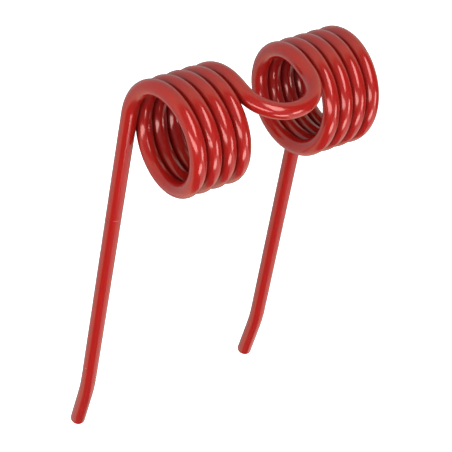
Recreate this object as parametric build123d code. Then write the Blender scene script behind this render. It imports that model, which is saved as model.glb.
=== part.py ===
from build123d import *
import math
import os

os.makedirs("parts", exist_ok=True)

# Double torsion spring tine for the pickup reel of a baler or forage wagon, wound and bent from one
# length of round spring wire. From one end to the other the wire is a leg, a coil, the bridge, the
# other coil and the other leg, and the left half is the mirror image of the right one.
# The origin is on the common axis of the two coils, halfway between them. +X runs along that axis
# and +Z is up. The legs hang down at the back of the coils and their tips kick out towards +Y.
# Sizes are in millimetres and angles in degrees, and all but the inside diameter of the coils and
# the rounding of the ends are measured on the wire's centreline.

# Wire and coils
WIRE_D = 5.7
COIL_INSIDE_D = 29.4
COIL_PITCH = 5.8
WHOLE_TURNS = 4
ARCS_PER_TURN = 8

# Bridge that joins the inner ends of the coils and takes the clamp bolt
ARM_SPACING = 27.2
ARM_LENGTH = 3.4
BRIDGE_DROP = 11.2
BRIDGE_FLAT = 0.4

# Legs, from the coil axis down to the cut end
LEG_LENGTH = 154.0
LEG_SPLAY = 0.9
SET_BEND_R = 60.0
TIP_KICK = 8.0
TIP_BEND_R = 80.0
TIP_LENGTH = 17.0
END_ROUND = 0.7

# Worked out from the sizes above: from the back of the coil to the top is a quarter of a turn
COIL_R = (COIL_INSIDE_D + WIRE_D) / 2
TURNS = WHOLE_TURNS + 0.25 + BRIDGE_DROP / 360
COIL_ADVANCE = COIL_PITCH * TURNS
LEG_X = ARM_SPACING / 2 + COIL_ADVANCE
SPLAY = math.radians(LEG_SPLAY)
KICK = math.radians(TIP_KICK)

# A coil is a chain of equal tangent arcs that start and end on its helix and stay within a hundredth
# of a millimetre of it. An arc advances by twice the coil's radius, times the tangents of half its
# turn round the axis and of the slope at its ends.
COIL_ARCS = math.ceil(ARCS_PER_TURN * TURNS)
ARC_TURN = 2 * math.pi * TURNS / COIL_ARCS
COIL_SLOPE = math.atan(COIL_ADVANCE / COIL_ARCS / (2 * COIL_R * math.tan(ARC_TURN / 2)))


def straight(start, heading, length):
    """A straight run from start along heading, and the point where it ends."""
    end = start + heading * length
    return Line(start, end), end


def bend(start, heading, end_heading, radius):
    """The tangent arc from start that turns heading into end_heading, and the point where it ends."""
    turn = math.radians(heading.get_angle(end_heading))
    inward = (end_heading - heading * heading.dot(end_heading)).normalized()
    end = start + heading * (radius * math.sin(turn)) + inward * (radius * (1 - math.cos(turn)))
    return TangentArc(start, end, tangent=heading), end


def coil_heading(turned):
    """The wire's direction in the left coil, at this angle round the axis from the top of the leg."""
    return Vector(math.tan(COIL_SLOPE), -math.sin(turned), math.cos(turned)).normalized()


def left_leg():
    """The left leg from the coil down to the cut end, that end and the wire's direction there."""
    down = Vector(-math.sin(SPLAY), 0, -math.cos(SPLAY))
    kicked = down * math.cos(KICK) + Vector(0, 1, 0) * math.sin(KICK)
    set_bend, leg_top = bend(Vector(-LEG_X, COIL_R, 0), -coil_heading(0), down, SET_BEND_R)
    tip_height = TIP_BEND_R * math.sin(KICK) + TIP_LENGTH * math.cos(KICK)
    shank, leg_foot = straight(leg_top, down, (LEG_LENGTH + leg_top.Z) / math.cos(SPLAY) - tip_height)
    tip_bend, tip_top = bend(leg_foot, down, kicked, TIP_BEND_R)
    tip, cut_end = straight(tip_top, kicked, TIP_LENGTH)
    return [set_bend, shank, tip_bend, tip], cut_end, kicked


def left_coil():
    """The left coil from the top of the leg, up and over towards the front, and its inner end."""
    arc_angle = math.radians(coil_heading(0).get_angle(coil_heading(ARC_TURN)))
    arc_r = COIL_R * math.tan(ARC_TURN / 2) / (math.cos(COIL_SLOPE) * math.tan(arc_angle / 2))
    point = Vector(-LEG_X, COIL_R, 0)
    arcs = []
    for i in range(COIL_ARCS):
        arc, point = bend(point, coil_heading(i * ARC_TURN), coil_heading((i + 1) * ARC_TURN), arc_r)
        arcs.append(arc)
    return arcs, point


def left_bridge(coil_end):
    """The left half of the bridge, from the coil out to the front and round to the middle."""
    heading = coil_heading(2 * math.pi * TURNS)
    across = Vector(1, 0, 0)
    arm, arm_end = straight(coil_end, heading, ARM_LENGTH)
    # the arc turns by a right angle less the slope, so it moves its radius times cos(slope) along X
    loop_r = (-arm_end.X - BRIDGE_FLAT / 2) / math.cos(COIL_SLOPE)
    loop, loop_end = bend(arm_end, heading, across, loop_r)
    flat, _ = straight(loop_end, across, BRIDGE_FLAT / 2)
    return [arm, loop, flat]


leg, cut_end, end_heading = left_leg()
coil, coil_end = left_coil()
left_half = [*leg, *coil, *left_bridge(coil_end)]
right_half = [mirror(piece, about=Plane.YZ) for piece in left_half]
centreline = Wire([edge for piece in left_half + right_half for edge in piece.edges()])

# The wire is cropped square at both ends, and its rims there are a little rounded
section = Plane(origin=cut_end, z_dir=end_heading) * Circle(WIRE_D / 2)
square_ended = sweep(section, path=centreline)
end_rims = square_ended.edges().filter_by(GeomType.CIRCLE).sort_by(Axis.Z)[:2]
tine = fillet(end_rims, END_ROUND)

print("wire length", round(centreline.length, 1), "mm, legs", round(2 * LEG_X, 1), "mm apart at the coils")
print("volume", round(tine.volume), "mm3, wire section times length",
      round(centreline.length * math.pi * WIRE_D**2 / 4), "mm3")

export_step(tine, "parts/pickup_tine.step")
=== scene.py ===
"""Dresses the pickup tine: one bent wire in gloss red enamel, over a pale studio floor."""
import logging
import math
from dataclasses import dataclass, field
from enum import Enum

import bpy
from mathutils import Matrix, Vector


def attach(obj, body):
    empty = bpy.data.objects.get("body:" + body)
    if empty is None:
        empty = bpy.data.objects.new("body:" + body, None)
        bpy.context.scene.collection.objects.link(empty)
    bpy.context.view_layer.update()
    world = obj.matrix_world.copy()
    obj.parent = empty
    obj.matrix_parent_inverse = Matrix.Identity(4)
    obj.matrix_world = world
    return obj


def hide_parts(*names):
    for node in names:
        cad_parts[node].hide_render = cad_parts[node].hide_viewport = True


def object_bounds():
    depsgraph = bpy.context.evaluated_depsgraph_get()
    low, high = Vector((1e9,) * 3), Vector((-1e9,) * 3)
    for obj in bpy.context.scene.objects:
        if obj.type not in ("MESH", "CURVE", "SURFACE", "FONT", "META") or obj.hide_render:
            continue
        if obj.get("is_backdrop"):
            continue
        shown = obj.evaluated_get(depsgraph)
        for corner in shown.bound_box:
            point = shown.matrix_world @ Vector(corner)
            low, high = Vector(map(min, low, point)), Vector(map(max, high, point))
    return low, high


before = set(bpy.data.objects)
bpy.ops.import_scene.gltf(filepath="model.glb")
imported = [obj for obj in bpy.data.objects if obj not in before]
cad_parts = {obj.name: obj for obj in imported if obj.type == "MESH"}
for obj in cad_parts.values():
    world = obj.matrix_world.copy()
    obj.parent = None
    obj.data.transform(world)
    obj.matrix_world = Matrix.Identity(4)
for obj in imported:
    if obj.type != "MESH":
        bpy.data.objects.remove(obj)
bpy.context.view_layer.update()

log = logging.getLogger("pickup_tine")

MM = 0.001
DEGREE = math.pi / 180
WHITE = (1.0, 1.0, 1.0, 1.0)
NODE = "pickup_tine"
BODY = "root"


def direction(azimuth: float, elevation: float) -> Vector:
    """The direction at this azimuth, from 0 at -Y round towards +X, and at this elevation above the level.

    Args:
        azimuth: The angle round the vertical.
        elevation: The angle above the level.

    Returns:
        A unit vector from the object.
    """
    level = math.cos(elevation)
    return Vector((math.sin(azimuth) * level, -math.cos(azimuth) * level, math.sin(elevation)))


def deselect_objects() -> None:
    """Deselects every object, because the loaded CAD node is still selected."""
    bpy.ops.object.select_all(action="DESELECT")


@dataclass
class WireEnd:
    """An open end of the wire's mesh, whose ring of vertices grows along a path by edit-mode operators.

    Args:
        wire: The wire's object.
        centre: The centre of the end ring.
        heading: The direction in which the end grows, square to the ring.
        radius: The wire's radius.
        ring_reach: How far from the centre a vertex of the ring may lie, in radii.
        ring_slack: How far off the ring's plane it may lie, in radii.
        rim_segments: How many faces the rounded rim is cut into.
        rim_profile: The bevel's profile, which is round at this value.
        cap_inset: How far the flat of the cap is inset before it is poked, as a share of its radius.
    """

    wire: bpy.types.Object
    centre: Vector
    heading: Vector
    radius: float
    ring_reach: float = 1.01
    ring_slack: float = 0.001
    rim_segments: int = 6
    rim_profile: float = 0.5
    cap_inset: float = 0.35

    def select(self) -> None:
        """Leaves the wire in edit mode with only this end's ring of vertices selected."""
        if self.wire.mode == "EDIT":
            bpy.ops.object.mode_set(mode="OBJECT")
        reach = self.ring_reach * self.radius
        slack = self.ring_slack * self.radius
        mesh = self.wire.data
        for part in (*mesh.edges, *mesh.polygons):
            part.select = False
        for vertex in mesh.vertices:
            away = vertex.co - self.centre
            vertex.select = away.length < reach and abs(away.dot(self.heading)) < slack
        bpy.ops.object.mode_set(mode="EDIT")
        bpy.ops.mesh.select_mode(type="VERT")

    def run(self, length: float, steps: int = 1) -> None:
        """Extrudes the selected ring straight on.

        Args:
            length: How far the wire runs.
            steps: How many rings the run is cut into.
        """
        step = self.heading * (length / steps)
        for _ in range(steps):
            bpy.ops.mesh.extrude_region_move(TRANSFORM_OT_translate={"value": step})
        self.centre = self.centre + self.heading * length

    def bend(self, end_heading: Vector, radius: float, steps: int) -> None:
        """Spins the selected ring round a tangent arc.

        Args:
            end_heading: The heading at the end of the arc.
            radius: The arc's radius, to the middle of the wire.
            steps: How many rings the arc is cut into.
        """
        turn = self.heading.angle(end_heading)
        inward = (end_heading - self.heading * self.heading.dot(end_heading)).normalized()
        # the operator turns clockwise about its axis
        bpy.ops.mesh.spin(
            steps=steps,
            angle=turn,
            center=self.centre + inward * radius,
            axis=inward.cross(self.heading),
        )
        onward = radius * math.sin(turn)
        aside = radius * (1 - math.cos(turn))
        self.centre = self.centre + self.heading * onward + inward * aside
        self.heading = end_heading

    def close(self, rounding: float) -> None:
        """Caps the selected ring square to the wire and rounds its rim.

        Args:
            rounding: The radius of the rounded rim.
        """
        bpy.ops.mesh.edge_face_add()
        bpy.ops.mesh.bevel(
            offset=rounding,
            offset_type="OFFSET",
            segments=self.rim_segments,
            profile=self.rim_profile,
            affect="EDGES",
        )
        self.select()
        bpy.ops.mesh.inset(thickness=self.cap_inset * (self.radius - rounding))
        bpy.ops.mesh.poke()


@dataclass
class TineWire:
    """The whole tine, which is one wire: two legs, two coils wound in opposite hands and the bridge.

    The fields are the driving sizes of the real wire, measured on its centreline unless they say otherwise.
    The fields from sides on say how finely its mesh is cut, merged and smoothed.
    """

    wire_d: float = 5.7 * MM
    coil_inside_d: float = 29.4 * MM
    coil_pitch: float = 5.8 * MM
    whole_turns: int = 4
    part_turn: float = 0.25
    arm_spacing: float = 27.2 * MM
    arm_length: float = 3.4 * MM
    bridge_drop: float = 11.2 * DEGREE
    bridge_flat: float = 0.4 * MM
    leg_length: float = 154.0 * MM
    leg_splay: float = 0.9 * DEGREE
    set_bend_r: float = 60.0 * MM
    tip_kick: float = 8.0 * DEGREE
    tip_bend_r: float = 80.0 * MM
    tip_length: float = 17.0 * MM
    end_round: float = 0.7 * MM
    sides: int = 56
    rings_per_turn: int = 84
    ring_spacing: float = 4.0 * MM
    set_bend_steps: int = 3
    tip_bend_steps: int = 10
    bridge_steps: int = 32
    merge_distance: float = 0.01 * MM
    smooth_angle: float = 40.0 * DEGREE

    @property
    def wire_r(self) -> float:
        """The wire's radius."""
        return self.wire_d / 2

    @property
    def coil_r(self) -> float:
        """The radius of the coils, to the middle of the wire."""
        return (self.coil_inside_d + self.wire_d) / 2

    @property
    def turned(self) -> float:
        """The angle that a coil winds through, from the back, where the leg joins it, to the bridge."""
        return 2 * math.pi * (self.whole_turns + self.part_turn) + self.bridge_drop

    @property
    def advance(self) -> float:
        """How far a coil winds along the axis."""
        return self.coil_pitch * self.turned / (2 * math.pi)

    @property
    def slope(self) -> float:
        """The angle between a turn of the coil and the plane square to the axis."""
        return math.atan(self.coil_pitch / (2 * math.pi * self.coil_r))

    def coil_point(self, angle: float) -> Vector:
        """A point of the left coil's centreline.

        Args:
            angle: How far the coil has wound from the top of the leg.

        Returns:
            The point.
        """
        x = -self.arm_spacing / 2 - self.advance + self.coil_pitch * angle / (2 * math.pi)
        return Vector((x, self.coil_r * math.cos(angle), self.coil_r * math.sin(angle)))

    def coil_heading(self, angle: float) -> Vector:
        """The wire's direction in the left coil, at this angle from the top of the leg."""
        return Vector((math.tan(self.slope), -math.sin(angle), math.cos(angle))).normalized()

    def wind_coil(self) -> bpy.types.Object:
        """Winds the left coil from a circle.

        Returns:
            The wire's object, open at both ends of the coil.
        """
        deselect_objects()
        bpy.ops.mesh.primitive_circle_add(
            vertices=self.sides,
            radius=self.wire_r,
            fill_type="NOTHING",
            location=self.coil_point(0),
            rotation=(0, self.slope, 0),
        )
        wire = bpy.context.object
        wire.name = wire.data.name = "tine_wire"
        bpy.ops.object.transform_apply(location=True, rotation=True, scale=True)
        winding = wire.modifiers.new("winding", "SCREW")
        winding.axis = "X"
        winding.angle = self.turned
        winding.screw_offset = self.advance
        winding.steps = winding.render_steps = round(self.rings_per_turn * self.turned / (2 * math.pi))
        winding.use_merge_vertices = False
        bpy.ops.object.modifier_apply(modifier=winding.name)
        return wire

    def grow_leg(self, wire: bpy.types.Object) -> None:
        """Grows the left leg out of the coil, down to its kicked and rounded tip.

        Args:
            wire: The wire's object.
        """
        down = Vector((-math.sin(self.leg_splay), 0, -math.cos(self.leg_splay)))
        kicked = down * math.cos(self.tip_kick) + Vector((0, 1, 0)) * math.sin(self.tip_kick)
        end = WireEnd(wire, self.coil_point(0), -self.coil_heading(0), self.wire_r)
        end.select()
        end.bend(down, self.set_bend_r, self.set_bend_steps)
        tip_height = self.tip_bend_r * math.sin(self.tip_kick) + self.tip_length * math.cos(self.tip_kick)
        shank = (self.leg_length + end.centre.z) / math.cos(self.leg_splay) - tip_height
        end.run(shank, steps=round(shank / self.ring_spacing))
        end.bend(kicked, self.tip_bend_r, self.tip_bend_steps)
        end.run(self.tip_length, steps=round(self.tip_length / self.ring_spacing))
        end.close(self.end_round)
        bpy.ops.object.mode_set(mode="OBJECT")

    def grow_bridge(self, wire: bpy.types.Object) -> None:
        """Grows the left half of the bridge, from the coil round to the middle plane.

        Args:
            wire: The wire's object.
        """
        across = Vector((1, 0, 0))
        end = WireEnd(wire, self.coil_point(self.turned), self.coil_heading(self.turned), self.wire_r)
        end.select()
        end.run(self.arm_length)
        loop_r = (-end.centre.x - self.bridge_flat / 2) / math.cos(self.slope)
        end.bend(across, loop_r, self.bridge_steps)
        end.run(-end.centre.x)
        bpy.ops.object.mode_set(mode="OBJECT")

    def mirror(self, wire: bpy.types.Object) -> None:
        """Adds the right half, joins it to the left one and turns every face outwards.

        Args:
            wire: The wire's object.
        """
        halves = wire.modifiers.new("right_half", "MIRROR")
        halves.use_axis = (True, False, False)
        halves.merge_threshold = self.merge_distance
        bpy.ops.object.modifier_apply(modifier=halves.name)
        bpy.ops.object.mode_set(mode="EDIT")
        bpy.ops.mesh.select_all(action="SELECT")
        bpy.ops.mesh.remove_doubles(threshold=self.merge_distance)
        bpy.ops.mesh.normals_make_consistent(inside=False)
        bpy.ops.object.mode_set(mode="OBJECT")
        bpy.ops.object.shade_smooth_by_angle(angle=self.smooth_angle)

    def build(self) -> bpy.types.Object:
        """Builds the whole wire.

        Returns:
            The wire's object, at the origin, with its place in its mesh.
        """
        wire = self.wind_coil()
        self.grow_leg(wire)
        self.grow_bridge(wire)
        self.mirror(wire)
        return wire


@dataclass(frozen=True)
class Mark:
    """A small dull blemish in the enamel, which fades out from a point of the surface.

    Args:
        place: The point, in millimetres.
        reach: How far the blemish goes along X, Y and Z, in millimetres.
        tone: Its colour.
        core: The share of its reach within which it shows in full.
    """

    place: tuple[float, float, float]
    reach: tuple[float, float, float]
    tone: tuple[float, float, float]
    core: float = 0.5

    def mask(self, tree: bpy.types.NodeTree, place: bpy.types.NodeSocket) -> bpy.types.NodeSocket:
        """Makes the nodes that say where the blemish is.

        Args:
            tree: The material's node tree.
            place: The socket that gives the place on the piece.

        Returns:
            A socket that is 1 in the middle of the blemish and 0 away from it.
        """
        centred = tree.nodes.new("ShaderNodeMapping")
        centred.vector_type = "TEXTURE"
        centred.inputs["Location"].default_value = Vector(self.place) * MM
        centred.inputs["Scale"].default_value = Vector(self.reach) * MM
        away = tree.nodes.new("ShaderNodeVectorMath")
        away.operation = "LENGTH"
        fading = tree.nodes.new("ShaderNodeMapRange")
        fading.interpolation_type = "SMOOTHSTEP"
        # the mapped length is 1 at the blemish's edge
        fading.inputs["From Min"].default_value = 1
        fading.inputs["From Max"].default_value = self.core
        tree.links.new(place, centred.inputs["Vector"])
        tree.links.new(centred.outputs["Vector"], away.inputs[0])
        tree.links.new(away.outputs["Value"], fading.inputs["Value"])
        return fading.outputs["Result"]


@dataclass(frozen=True)
class RedEnamel:
    """A thick gloss enamel on spring wire, cloudy, with painted shade: its colour is darkened between the
    turns, where little light reaches.

    It has a faint orange peel. A few marks are worn into it: a scratch and a nick across the left leg, and
    two specks. Each scale is how many times a metre a noise varies, and each detail is how many finer layers
    it has.
    """

    colour: tuple[float, float, float] = (0.33, 0.010, 0.007)
    cloudy_colour: tuple[float, float, float] = (0.29, 0.008, 0.006)
    cloud_scale: float = 90.0
    cloud_detail: float = 3.0
    grain_scale: float = 1100.0
    grain_detail: float = 1.0
    # painted shade: the dark colour that the occlusion mix puts between the turns and in the bores
    painted_shade_colour: tuple[float, float, float] = (0.10, 0.003, 0.002)
    painted_shade_reach: float = 2.7 * MM
    painted_shade_samples: int = 8
    roughness: tuple[float, float] = (0.13, 0.16)
    dull_roughness: float = 0.5
    peel_scale: float = 250.0
    peel_detail: float = 2.0
    peel_depth: float = 0.0008 * MM
    marks: tuple[Mark, ...] = (
        Mark((-40.0, 14.9, -45.9), (1.4, 1.4, 0.20), (0.37, 0.030, 0.028)),
        Mark((-41.9, 17.4, -46.3), (1.3, 1.3, 0.28), (0.10, 0.010, 0.010)),
        Mark((-43.1, 16.8, -120.3), (0.4, 0.4, 0.4), (0.38, 0.045, 0.042)),
        Mark((-32.2, -16.6, 10.3), (0.35, 0.5, 0.5), (0.30, 0.010, 0.008)),
    )

    @staticmethod
    def blend(
        tree: bpy.types.NodeTree,
        kind: str,
        amount: bpy.types.NodeSocket,
        first: bpy.types.NodeSocket | tuple[float, float, float, float] | float,
        second: bpy.types.NodeSocket | tuple[float, float, float, float] | float,
    ) -> bpy.types.NodeSocket:
        """Mixes two colours or two numbers.

        Args:
            tree: The material's node tree.
            kind: RGBA for colours or FLOAT for numbers.
            amount: The socket that says how much of the second there is.
            first: A socket or a value.
            second: A socket or a value.

        Returns:
            The mixed socket.
        """
        mix = tree.nodes.new("ShaderNodeMix")
        mix.data_type = kind
        tree.links.new(amount, mix.inputs["Factor"])
        for name, given in (("A", first), ("B", second)):
            fitting = (s for s in mix.inputs if s.enabled and s.name == name and s.type in (kind, "VALUE"))
            socket = next(fitting)
            if isinstance(given, bpy.types.NodeSocket):
                tree.links.new(given, socket)
            else:
                socket.default_value = given
        return next(s for s in mix.outputs if s.enabled)

    def noise(
        self, tree: bpy.types.NodeTree, place: bpy.types.NodeSocket, scale: float, detail: float
    ) -> bpy.types.NodeSocket:
        """Makes a noise on the piece.

        Args:
            tree: The material's node tree.
            place: The socket that gives the place on the piece.
            scale: How many times a metre it varies.
            detail: How many finer layers it has.

        Returns:
            The noise's socket, from 0 to 1.
        """
        node = tree.nodes.new("ShaderNodeTexNoise")
        node.inputs["Scale"].default_value = scale
        node.inputs["Detail"].default_value = detail
        tree.links.new(place, node.inputs["Vector"])
        return node.outputs["Fac"]

    def material(self) -> bpy.types.Material:
        """Makes the material.

        Returns:
            A new node material.
        """
        material = bpy.data.materials.new("red_enamel")
        material.use_nodes = True
        tree = material.node_tree
        shader = tree.nodes["Principled BSDF"]
        place = tree.nodes.new("ShaderNodeTexCoord").outputs["Object"]
        clouds = self.noise(tree, place, self.cloud_scale, self.cloud_detail)
        grain = self.noise(tree, place, self.grain_scale, self.grain_detail)
        mottling = self.blend(tree, "FLOAT", grain, clouds, grain)
        paint = self.blend(tree, "RGBA", mottling, (*self.colour, 1), (*self.cloudy_colour, 1))
        gloss = self.blend(tree, "FLOAT", clouds, *self.roughness)
        for mark in self.marks:
            where = mark.mask(tree, place)
            paint = self.blend(tree, "RGBA", where, paint, (*mark.tone, 1))
            gloss = self.blend(tree, "FLOAT", where, gloss, self.dull_roughness)
        # painted shade: the base colour turns dark wherever ambient occlusion finds nearby surfaces, between
        # the turns and in the bores
        openness = tree.nodes.new("ShaderNodeAmbientOcclusion")
        openness.samples = self.painted_shade_samples
        openness.only_local = True
        openness.inputs["Distance"].default_value = self.painted_shade_reach
        paint = self.blend(tree, "RGBA", openness.outputs["AO"], (*self.painted_shade_colour, 1), paint)
        peel = self.noise(tree, place, self.peel_scale, self.peel_detail)
        bump = tree.nodes.new("ShaderNodeBump")
        bump.inputs["Distance"].default_value = self.peel_depth
        tree.links.new(peel, bump.inputs["Height"])
        tree.links.new(paint, shader.inputs["Base Color"])
        tree.links.new(gloss, shader.inputs["Roughness"])
        tree.links.new(bump.outputs["Normal"], shader.inputs["Normal"])
        return material

    def coat(self, piece: bpy.types.Object) -> None:
        """Gives a piece this finish alone.

        Args:
            piece: The mesh object to paint.
        """
        piece.data.materials.clear()
        piece.data.materials.append(self.material())


@dataclass
class PhotoCamera:
    """The camera at the photograph's viewing angle.

    The azimuth is 0 when it looks along +Y and grows as it goes round towards +X. The aim is the point that
    it looks at, and lens and sensor are in millimetres.
    """

    azimuth: float = -43.1 * DEGREE
    elevation: float = 40.6 * DEGREE
    roll: float = 11.4 * DEGREE
    distance: float = 548.0 * MM
    aim: Vector = field(default_factory=lambda: Vector((-2.5, 0, -50.7)) * MM)
    lens: float = 123.2
    sensor: float = 36.0
    clip_end: float = 100.0

    def place(self) -> None:
        """Makes the camera and gives it to the scene."""
        back = direction(self.azimuth, self.elevation)
        right = Vector((0, 0, 1)).cross(back).normalized()
        up = back.cross(right)
        tilted_right = right * math.cos(self.roll) + up * math.sin(self.roll)
        tilted_up = up * math.cos(self.roll) - right * math.sin(self.roll)
        camera = bpy.data.objects.new("camera", bpy.data.cameras.new("camera"))
        camera.data.lens = self.lens
        camera.data.sensor_width = self.sensor
        camera.data.clip_end = self.clip_end
        turn = Matrix((tilted_right, tilted_up, back)).transposed().to_4x4()
        camera.matrix_world = Matrix.Translation(self.aim + back * self.distance) @ turn
        bpy.context.scene.collection.objects.link(camera)
        bpy.context.scene.camera = camera


class LightUse(Enum):
    """What a light does: it fills the shade, or it is mirrored in the gloss."""

    FILL = "fill"
    HIGHLIGHT = "highlight"


@dataclass(frozen=True)
class Softbox:
    """A soft light that faces the coils: a rectangle for the fill, an ellipse for a highlight.

    The azimuth and elevation are those of the direction from the coils to the light, counted as the
    camera's are, and width and height are the angles that it fills as seen from there. The roll turns its
    width from the level, the distance is in metres and the warm white is the colour of a highlight.
    """

    name: str
    azimuth: float
    elevation: float
    width: float
    height: float
    roll: float
    radiance: float
    use: LightUse
    distance: float = 1.5
    warm_white: tuple[float, float, float] = (1.3, 0.87, 0.80)

    def hang(self) -> None:
        """Makes the light and puts it in its place."""
        wide = 2 * self.distance * math.tan(self.width / 2)
        high = 2 * self.distance * math.tan(self.height / 2)
        light = bpy.data.lights.new(self.name, "AREA")
        light.shape = "RECTANGLE" if self.use is LightUse.FILL else "ELLIPSE"
        light.size, light.size_y = wide, high
        area = wide * high * (1 if self.use is LightUse.FILL else math.pi / 4)
        # a one-sided panel of this radiance gives off pi times its area times the radiance
        light.energy = math.pi * area * self.radiance
        towards = direction(self.azimuth, self.elevation)
        lamp = bpy.data.objects.new(self.name, light)
        turn = towards.to_track_quat("Z", "Y").to_matrix() @ Matrix.Rotation(self.roll, 3, "Z")
        lamp.matrix_world = Matrix.Translation(towards * self.distance) @ turn.to_4x4()
        if self.use is LightUse.HIGHLIGHT:
            light.color = self.warm_white
        lamp.visible_camera = False
        lamp.visible_diffuse = self.use is LightUse.FILL
        lamp.visible_glossy = self.use is LightUse.HIGHLIGHT
        bpy.context.scene.collection.objects.link(lamp)


def fill(name: str, azimuth: float, elevation: float, radiance: float) -> Softbox:
    """A large square fill light.

    Args:
        name: The light's name.
        azimuth: The azimuth of its direction, in degrees.
        elevation: The elevation of its direction, in degrees.
        radiance: How bright it is.

    Returns:
        The light, not hung yet.
    """
    size = 50 * DEGREE
    return Softbox(name, azimuth * DEGREE, elevation * DEGREE, size, size, 0, radiance, LightUse.FILL)


def highlight(
    name: str, azimuth: float, elevation: float, width: float, height: float, roll: float, radiance: float
) -> Softbox:
    """A light that only shows as a highlight in the gloss.

    Args:
        name: The light's name.
        azimuth: The azimuth of its direction, in degrees.
        elevation: The elevation of its direction, in degrees.
        width: The angle that it fills from side to side, in degrees.
        height: The angle that it fills from top to bottom, in degrees.
        roll: How far its width is turned from the level, in degrees.
        radiance: How bright it is.

    Returns:
        The light, not hung yet.
    """
    angles = [angle * DEGREE for angle in (azimuth, elevation, width, height, roll)]
    return Softbox(name, *angles, radiance, LightUse.HIGHLIGHT)


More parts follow.
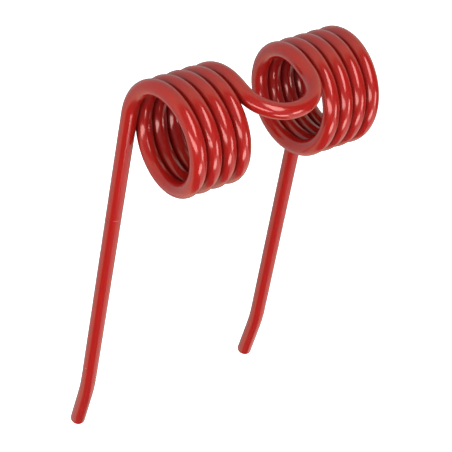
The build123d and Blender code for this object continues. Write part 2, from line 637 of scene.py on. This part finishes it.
@dataclass
class Studio:
    """A pale floor just below the tips, a pale wall at the back, highlights in front and fill all round.

    The wall's tones run from the unlit side of the room through the wall's edge towards its middle. Each is
    the cosine of the angle from the wall's middle, and the colour of the room there as the gloss mirrors it.
    The far patch is a duller part of the wall, full within its first radius and gone at its second.
    """

    floor_drop: float = 3.0 * MM
    floor_size: float = 40.0
    floor_colour: tuple[float, float, float] = (0.8, 0.8, 0.8)
    floor_glow: float = 1.0
    wall_azimuth: float = 175.0 * DEGREE
    wall_elevation: float = -5.0 * DEGREE
    wall_tones: tuple[tuple[float, tuple[float, float, float]], ...] = (
        (-0.15, (0.09, 0.09, 0.10)),
        (0.07, (1.2, 1.1, 0.80)),
        (0.50, (0.97, 0.92, 0.82)),
        (0.87, (0.75, 0.75, 0.73)),
    )
    far_azimuth: float = 137.0 * DEGREE
    far_elevation: float = -40.0 * DEGREE
    far_radii: tuple[float, float] = (15.0 * DEGREE, 40.0 * DEGREE)
    far_tone: tuple[float, float, float] = (0.25, 0.25, 0.25)
    softboxes: tuple[Softbox, ...] = (
        highlight("upper", -5, 55, 50, 27, 70, 8.0),
        highlight("left", -55, 3, 58, 18, 10, 8.0),
        highlight("right", 25, 0, 20, 26, -45, 8.0),
        highlight("lower", -8, -27, 18, 33, -65, 8.0),
        highlight("right_card", 30, -35, 80, 40, -40, 1.1),
        fill("key", -45, 40, 3.5),
        fill("front_fill", 0, 0, 4.0),
        fill("left_fill", -90, 0, 2.5),
        fill("back_fill", 180, 0, 1.5),
        fill("right_fill", 90, 0, 2.0),
        fill("top_fill", 0, 90, 1.5),
        fill("below_fill", 0, -90, 3.0),
    )

    def lay_floor(self) -> None:
        """Lays the floor below the object, seen by the camera alone so that it stays evenly white."""
        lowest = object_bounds()[0].z
        deselect_objects()
        bpy.ops.mesh.primitive_plane_add(size=self.floor_size, location=(0, 0, lowest - self.floor_drop))
        floor = bpy.context.object
        floor.name = "floor"
        floor.visible_diffuse = False
        floor.visible_glossy = False
        floor.visible_shadow = False
        material = bpy.data.materials.new("pale_floor")
        material.use_nodes = True
        shader = material.node_tree.nodes["Principled BSDF"]
        shader.inputs["Base Color"].default_value = (*self.floor_colour, 1)
        shader.inputs["Roughness"].default_value = 1.0
        shader.inputs["Specular IOR Level"].default_value = 0.0
        shader.inputs["Emission Color"].default_value = WHITE
        shader.inputs["Emission Strength"].default_value = self.floor_glow
        floor.data.materials.append(material)
        floor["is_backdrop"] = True

    def build_room(self) -> None:
        """Makes the room that the gloss mirrors, wall and all, and shows the camera plain white."""
        world = bpy.data.worlds.new("room")
        world.use_nodes = True
        world.cycles_visibility.diffuse = False
        nodes, links = world.node_tree.nodes, world.node_tree.links
        place = nodes.new("ShaderNodeTexCoord")
        side = nodes.new("ShaderNodeVectorMath")
        side.operation = "DOT_PRODUCT"
        side.inputs[1].default_value = direction(self.wall_azimuth, self.wall_elevation)
        # the cosine of the angle from the wall's middle is -1 to 1, and the ramp's positions are 0 to 1
        along = nodes.new("ShaderNodeMapRange")
        along.inputs["From Min"].default_value = -1
        tones = nodes.new("ShaderNodeValToRGB")
        for cosine, _ in self.wall_tones[1:-1]:
            tones.color_ramp.elements.new((cosine + 1) / 2)
        for element, (cosine, tone) in zip(tones.color_ramp.elements, self.wall_tones):
            element.position = (cosine + 1) / 2
            element.color = (*tone, 1)
        far = nodes.new("ShaderNodeVectorMath")
        far.operation = "DOT_PRODUCT"
        far.inputs[1].default_value = direction(self.far_azimuth, self.far_elevation)
        dimming = nodes.new("ShaderNodeMapRange")
        dimming.interpolation_type = "SMOOTHSTEP"
        dimming.inputs["From Min"].default_value = math.cos(self.far_radii[1])
        dimming.inputs["From Max"].default_value = math.cos(self.far_radii[0])
        dimmed = nodes.new("ShaderNodeMix")
        dimmed.data_type = "RGBA"
        dimmed.inputs["B"].default_value = (*self.far_tone, 1)
        seen = nodes.new("ShaderNodeLightPath")
        shown = nodes.new("ShaderNodeMix")
        shown.data_type = "RGBA"
        links.new(place.outputs["Generated"], side.inputs[0])
        links.new(place.outputs["Generated"], far.inputs[0])
        links.new(side.outputs["Value"], along.inputs["Value"])
        links.new(along.outputs["Result"], tones.inputs["Fac"])
        links.new(far.outputs["Value"], dimming.inputs["Value"])
        links.new(dimming.outputs["Result"], dimmed.inputs["Factor"])
        links.new(tones.outputs["Color"], dimmed.inputs["A"])
        links.new(seen.outputs["Is Camera Ray"], shown.inputs["Factor"])
        links.new(dimmed.outputs["Result"], shown.inputs["A"])
        shown.inputs["B"].default_value = WHITE
        links.new(shown.outputs["Result"], nodes["Background"].inputs["Color"])
        bpy.context.scene.world = world

    def build(self) -> None:
        """Makes the floor, the room and the softboxes."""
        self.lay_floor()
        self.build_room()
        for softbox in self.softboxes:
            softbox.hang()
        bpy.context.scene.view_settings.view_transform = "Standard"


def main() -> None:
    """Builds the tine, then the camera and the studio, and reports each piece."""
    logging.basicConfig(level=logging.INFO, format="%(name)s: %(message)s")
    wire = TineWire().build()
    RedEnamel().coat(wire)
    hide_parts(NODE)
    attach(wire, BODY)
    log.info("%s: %d vertices, %d faces", wire.name, len(wire.data.vertices), len(wire.data.polygons))
    PhotoCamera().place()
    Studio().build()


if __name__ == "__main__":
    main()
